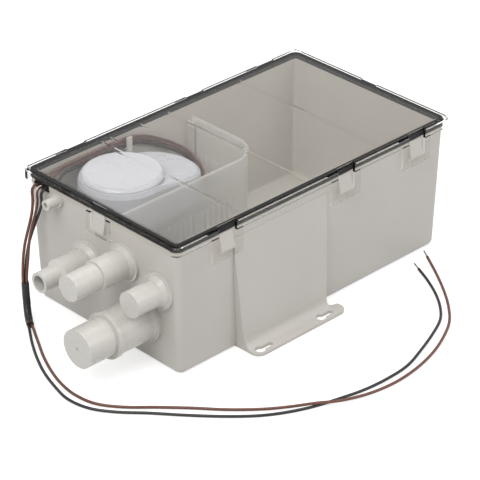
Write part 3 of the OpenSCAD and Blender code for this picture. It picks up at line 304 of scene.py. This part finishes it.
class Finish:
    """One material, built round its Principled shader."""

    def __init__(self, name):
        self.material = bpy.data.materials.new(name)
        self.material.use_nodes = True
        self.tree = self.material.node_tree
        self.shader = self.tree.nodes["Principled BSDF"]
        self.output = self.tree.nodes["Material Output"]
        self.place = self.add("TexCoord").outputs["Object"]

    def add(self, kind, inputs=(), **settings):
        node = self.tree.nodes.new("ShaderNode" + kind)
        for key, value in settings.items():
            setattr(node, key, value)
        for key, value in dict(inputs).items():
            if isinstance(value, bpy.types.NodeSocket):
                self.tree.links.new(value, node.inputs[key])
            else:
                node.inputs[key].default_value = value
        return node

    def set(self, **values):
        for key, value in values.items():
            socket = self.shader.inputs[key.replace("_", " ")]
            if isinstance(value, bpy.types.NodeSocket):
                self.tree.links.new(value, socket)
            else:
                socket.default_value = value
        return self

    def stretched(self, along, place=None):
        return self.add("Mapping", {"Vector": place or self.place, "Scale": along}).outputs[0]

    def noise(self, size_mm, detail, place=None, rough=0.5):
        """Noise whose features are about size_mm across, from 0 to 1."""
        return self.add("TexNoise", {"Vector": place or self.place, "Scale": 1000 / size_mm, "Detail": detail,
                                     "Roughness": rough}).outputs[0]

    def mapped(self, value, low, high, of=(0.3, 0.7)):
        """The value's range `of`, where most of a noise lies, spread over low to high."""
        return self.add("MapRange", {"Value": value, "From Min": of[0], "From Max": of[1], "To Min": low,
                                     "To Max": high}).outputs[0]

    def math(self, operation, a, b=0.0):
        return self.add("Math", {0: a, 1: b}, operation=operation).outputs[0]

    def colours(self, value, *stops):
        """A ramp through the (position, colour) stops."""
        ramp = self.add("ValToRGB", {"Fac": value})
        bar = ramp.color_ramp
        while len(bar.elements) < len(stops):
            bar.elements.new(1.0)
        for element, (position, colour) in zip(bar.elements, stops):
            element.position, element.color = position, (*colour[:3], 1.0)
        return ramp.outputs[0]

    def mixed(self, share, a, b):
        node = self.add("Mix", {0: share}, data_type="RGBA")
        for socket, value in ((node.inputs[6], a), (node.inputs[7], b)):
            if isinstance(value, bpy.types.NodeSocket):
                self.tree.links.new(value, socket)
            else:
                socket.default_value = (*value[:3], 1.0)
        return node.outputs[2]

    def bump(self, height, depth_mm, over=None):
        inputs = {"Height": height, "Distance": depth_mm * MM}
        if over is not None:
            inputs["Normal"] = over
        return self.add("Bump", inputs).outputs[0]


def moulded(name, colour, rough, grain=(0.45, 0.012), waves=(14, 0.10), patches=(55, 0.035), spread=0.09,
            **more):
    """A moulded plastic or rubber: mottled colour, a fine grain, slow sink waves and an uneven gloss.
    grain and waves are a size and a depth in mm, and patches a size in mm and a share of the colour."""
    f = Finish(name)
    mottle = f.noise(patches[0], 3)
    speck = f.noise(grain[0] * SPECK_SIZE, 2)
    tones = (shade(colour, 1 - patches[1]), colour, shade(colour, 1 + patches[1]))
    body = f.colours(mottle, *zip(MOTTLE, tones))
    body = f.mixed(f.mapped(speck, 0.0, SPECK_SHARE), body, shade(colour, SPECK_SHADE))
    normal = f.bump(f.noise(waves[0], 1), waves[1])
    normal = f.bump(f.noise(grain[0], 2), grain[1], over=normal)
    gloss = f.mapped(f.noise(patches[0] * GLOSS_PATCH, 4), rough - spread, rough + spread)
    return f.set(Base_Color=body, Roughness=gloss, Normal=normal, Specular_IOR_Level=GLOSS, **more)


def metal(name, colour, rough, brushed=(1, 1, 1), line=0.22, depth=0.004, stain=0.12):
    """Bare metal: fine lines, stretched where it is brushed or drawn, under smudges of stain and gloss."""
    f = Finish(name)
    lines = f.noise(line, 3, f.stretched(brushed), LINE_ROUGH)
    smudge = f.noise(SMUDGE_MM, 4)
    tones = (shade(colour, 1 - stain), colour, shade(colour, 1 + stain / 2))
    body = f.colours(smudge, *zip(STAINS, tones))
    gloss = f.math("ADD", f.mapped(lines, -LINE_GLOSS, LINE_GLOSS),
                   f.mapped(smudge, rough + SMUDGE_DULL, rough - SMUDGE_BRIGHT))
    return f.set(Base_Color=body, Roughness=gloss, Metallic=1.0, Normal=f.bump(lines, depth))


def lit_through(f, tint):
    """Lamps and soft light pass straight through, so that what stands behind is lit."""
    clear = f.add("BsdfTransparent", {"Color": (*tint, 1.0)}).outputs[0]
    path = f.add("LightPath").outputs
    soft = f.math("MAXIMUM", path["Is Shadow Ray"], path["Is Diffuse Ray"])
    mix = f.add("MixShader", {0: soft, 1: f.shader.outputs[0], 2: clear}).outputs[0]
    f.tree.links.new(mix, f.output.inputs["Surface"])
    return f


def lead_finish(name, colour, stripe):
    """Extruded PVC: faint draw lines along the lead, and where there is one, a stripe along it."""
    f = Finish(name)
    uv = f.add("UVMap", uv_map="UVMap").outputs[0]
    lines = f.noise(1000 / DRAW_SCALE, 2, f.stretched(DRAW_STRETCH, uv))
    body = f.colours(f.noise(LEAD_MOTTLE_MM, 3), *zip(LEAD_STOPS, [shade(colour, by) for by in LEAD_SHADES]))
    if stripe:
        turn = f.add("SeparateXYZ", {0: uv}).outputs[1]
        edge = f.math("ADD", turn, f.mapped(f.noise(STRIPE_WAVER_MM, 2), -STRIPE_WAVER, STRIPE_WAVER))
        inside = f.math("MULTIPLY", f.math("GREATER_THAN", edge, STRIPE_FROM),
                        f.math("LESS_THAN", edge, STRIPE_TO))
        body = f.mixed(inside, body, stripe)
    normal = f.bump(lines, DRAW_DEPTH, over=f.bump(f.noise(LEAD_GRAIN[0], 2), LEAD_GRAIN[1]))
    gloss = f.mapped(f.noise(LEAD_GLOSS_MM, 3), LEAD_ROUGH - LEAD_BRIGHT, LEAD_ROUGH + LEAD_DULL)
    return f.set(Base_Color=body, Roughness=gloss, Normal=normal)


# name: 8-bit colour, roughness, and what departs from the usual
MOULDED = {
    "tub_plastic": ((197, 193, 187), 0.40, dict(patches=(60, 0.03))),
    "fitting_plastic": ((202, 199, 193), 0.26, dict(grain=(0.3, 0.006), patches=(30, 0.022))),
    "pump_plastic": ((190, 191, 194), 0.36, dict(grain=(0.4, 0.01))),
    "cap_plastic": ((198, 200, 208), 0.30, dict(grain=(0.3, 0.006), patches=(40, 0.02))),
    "label_film": ((202, 203, 212), 0.26, dict(grain=(0.2, 0.003), waves=(9, 0.03))),
    "impeller_plastic": ((66, 106, 152), 0.4, {}),
    "float_foam": ((214, 132, 66), 0.75, dict(grain=(1.1, 0.12), patches=(12, 0.09))),
    "gasket_rubber": ((9, 9, 9), 0.65, dict(grain=(0.5, 0.03), patches=(22, 0.16))),
    "hose_rubber": ((52, 51, 50), 0.5, dict(grain=(0.8, 0.03), patches=(14, 0.14))),
    "fibre_board": ((120, 78, 48), 0.65, dict(grain=(0.6, 0.03), patches=(6, 0.12))),
    "carbon": ((44, 43, 44), 0.45, dict(grain=(0.25, 0.02), patches=(3, 0.2))),
    "ferrite": ((62, 61, 63), 0.55, dict(grain=(0.5, 0.03), patches=(7, 0.14))),
    "shrink_film": ((40, 38, 36), 0.36, dict(grain=(0.4, 0.012), waves=(4, 0.25))),
}
METALS = {
    "stainless": ((198, 200, 203), 0.26, dict(brushed=(6, 6, 0.4))),
    "shaft_steel": ((205, 207, 210), 0.16, dict(brushed=(0.6, 0.6, 8), depth=0.002)),
    "zinc": ((178, 181, 184), 0.38, dict(line=2.4, depth=0.01, stain=0.2)),
    "core_copper": ((150, 108, 74), 0.42, dict(brushed=(0.5, 0.5, 6), line=0.4, depth=0.05, stain=0.3)),
    "copper": ((200, 132, 96), 0.3, dict(brushed=(0.5, 0.5, 7), depth=0.006, stain=0.2)),
    "bushing_bronze": ((172, 132, 84), 0.4, dict(line=0.5, depth=0.015, stain=0.2)),
    "tinned_copper": ((176, 170, 164), 0.32, dict(line=0.4, depth=0.006, stain=0.25)),
}
# name: 8-bit colour of the insulation, and of its stripe; the inner_ rows are painted light and shade, not the
# leads' own colours
INSULATION = {
    "brown_pvc": ((104, 64, 48), None),
    "striped_pvc": ((98, 60, 46), (226, 218, 208)),
    "black_pvc": ((26, 25, 25), None),
    # The inner_ rows are the same leads again, in the colours they show inside the tub under the lid. The
    # darker brown and darker stripe are painted shade, and the lighter black is painted light.
    "inner_brown": ((92, 60, 52), None),
    "inner_striped": ((84, 52, 46), (150, 132, 122)),
    "inner_black": ((40, 36, 35), None),
}
finishes = {name: moulded(name, srgb(*rgb), rough, **more) for name, (rgb, rough, more) in MOULDED.items()}
for name, (rgb, rough, more) in METALS.items():
    finishes[name] = metal(name, srgb(*rgb), rough, **more)
for name, (rgb, stripe) in INSULATION.items():
    finishes[name] = lead_finish(name, srgb(*rgb), srgb(*stripe) if stripe else None)

CLEAR_TINT, LOOP_TINT, HAZE_TINT = (0.985, 0.98, 0.965), (0.95, 0.945, 0.93), (0.9, 0.9, 0.9)
PLATE_IOR, RIB_IOR, LOOP_IOR, HAZE_IOR = 1.24, 1.05, 1.12, 1.1
RIBS_TOP, RIBS_END = 0.1359, 0.0965  # the lid's ribs lie below this height and within this half width, m
clear = moulded("clear_plastic", CLEAR_TINT, rough=0.05, grain=(3, 0.002), waves=(30, 0.03),
                patches=(70, 0.012), spread=0.03, Transmission_Weight=1.0)
# The ribs and the lip under the plate refract less, so that they show as faint lines
across, deep = clear.add("SeparateXYZ", {0: clear.place}).outputs[1:]
under = clear.math("LESS_THAN", deep, RIBS_TOP)
between = clear.math("LESS_THAN", clear.math("ABSOLUTE", across), RIBS_END)
clear.set(IOR=clear.mapped(clear.math("MULTIPLY", under, between), PLATE_IOR, RIB_IOR, of=(0, 1)))
finishes["clear_plastic"] = lit_through(clear, CLEAR_TINT)
loops = moulded("clear_loops", LOOP_TINT, rough=0.09, grain=(3, 0.002), waves=(12, 0.02),
                patches=(40, 0.015), spread=0.04, Transmission_Weight=1.0, IOR=LOOP_IOR)
finishes["clear_loops"] = lit_through(loops, CLEAR_TINT)
frosted = moulded("frosted_plastic", srgb(245, 245, 244), rough=0.4, grain=(0.5, 0.01), waves=(30, 0.01),
                  Transmission_Weight=0.8, IOR=HAZE_IOR)
finishes["frosted_plastic"] = lit_through(frosted, HAZE_TINT)

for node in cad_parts.values():
    for slot in node.material_slots:
        slot.material = finishes[slot.material.name.split(".")[0]].material
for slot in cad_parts["lid_snap_loops"].material_slots:
    slot.material = finishes["clear_loops"].material


def dress(piece, finish):
    """Give the piece its finish."""
    piece.data.materials.clear()
    piece.data.materials.append(finishes[finish].material)


dress(sleeve, "shrink_film")
for colour in leads:
    dress(leads[colour], f"{colour}_pvc")
    dress(inner[colour], f"inner_{colour}")
for colour, (lead, tip) in supply.items():
    dress(lead, f"{colour}_pvc")
    dress(tip, "tinned_copper")


# ---------------------------------------------------------------- floor, lamps and background
FLOOR_REACH = 4.0
FLOOR_DROP = 0.0002                  # below the CAD's lowest face
FLOOR_PATCH_MM, FLOOR_STOPS, FLOOR_TONES = 420, (0.3, 0.7), (0.58, 0.61)
FLOOR_ROUGH, FLOOR_GLOW = 0.9, 0.62
WORLD_LEVEL = 0.56                   # what the white background lights with
LAMPS_AIM = Vector((-0.02, 0, 0.06))


def directly_seen(tree):
    """1 on a ray from the camera, mirrored or refracted ones too, and 0 on one that only lights."""
    path = tree.nodes.new("ShaderNodeLightPath").outputs
    seen = path["Is Camera Ray"]
    for name in ("Is Glossy Ray", "Is Transmission Ray"):
        most = tree.nodes.new("ShaderNodeMath")
        most.operation = "MAXIMUM"
        tree.links.new(seen, most.inputs[0])
        tree.links.new(path[name], most.inputs[1])
        seen = most.outputs[0]
    return seen


def make_floor():
    r = FLOOR_REACH
    corners = [(x, y, -FLOOR_DROP) for x, y in ((-r, -r), (r, -r), (r, r), (-r, r))]
    floor = mesh_piece("floor", corners, [(0, 1, 2, 3)], flat=True)
    f = Finish("floor")
    pale = f.colours(f.noise(FLOOR_PATCH_MM, 2), *zip(FLOOR_STOPS, [(tone,) * 3 for tone in FLOOR_TONES]))
    f.set(Base_Color=pale, Roughness=FLOOR_ROUGH)
    strength = f.mapped(directly_seen(f.tree), 0.0, FLOOR_GLOW, of=(0, 1))
    glow = f.add("Emission", {"Color": (1, 1, 1, 1), "Strength": strength}).outputs[0]
    both = f.add("AddShader", {0: f.shader.outputs[0], 1: glow}).outputs[0]
    f.tree.links.new(both, f.output.inputs["Surface"])
    floor.data.materials.append(f.material)


def make_world():
    world = bpy.data.worlds.new("world")
    scene.world = world
    world.use_nodes = True
    tree = world.node_tree
    back = tree.nodes["Background"]
    strength = tree.nodes.new("ShaderNodeMapRange")
    strength.inputs["To Min"].default_value = WORLD_LEVEL
    strength.inputs["To Max"].default_value = 1.0
    tree.links.new(directly_seen(tree), strength.inputs["Value"])
    tree.links.new(strength.outputs[0], back.inputs["Strength"])
    back.inputs["Color"].default_value = (1, 1, 1, 1)


def lamp(name, azimuth, elevation, distance, size, watts):
    back = towards(math.radians(azimuth), math.radians(elevation))
    data = bpy.data.lights.new(name, "AREA")
    data.shape, data.size, data.energy = "DISK", size, watts
    light = bpy.data.objects.new(name, data)
    scene.collection.objects.link(light)
    light.location = LAMPS_AIM + back * distance
    light.rotation_mode = "QUATERNION"
    light.rotation_quaternion = back.to_track_quat("Z", "Y")


make_floor()
make_world()
lamp("key", azimuth=-75, elevation=48, distance=1.9, size=1.1, watts=16)
lamp("fill", azimuth=20, elevation=35, distance=2.1, size=1.3, watts=9)
lamp("top", azimuth=120, elevation=75, distance=1.8, size=1.2, watts=8)

scene.view_settings.view_transform = "Standard"
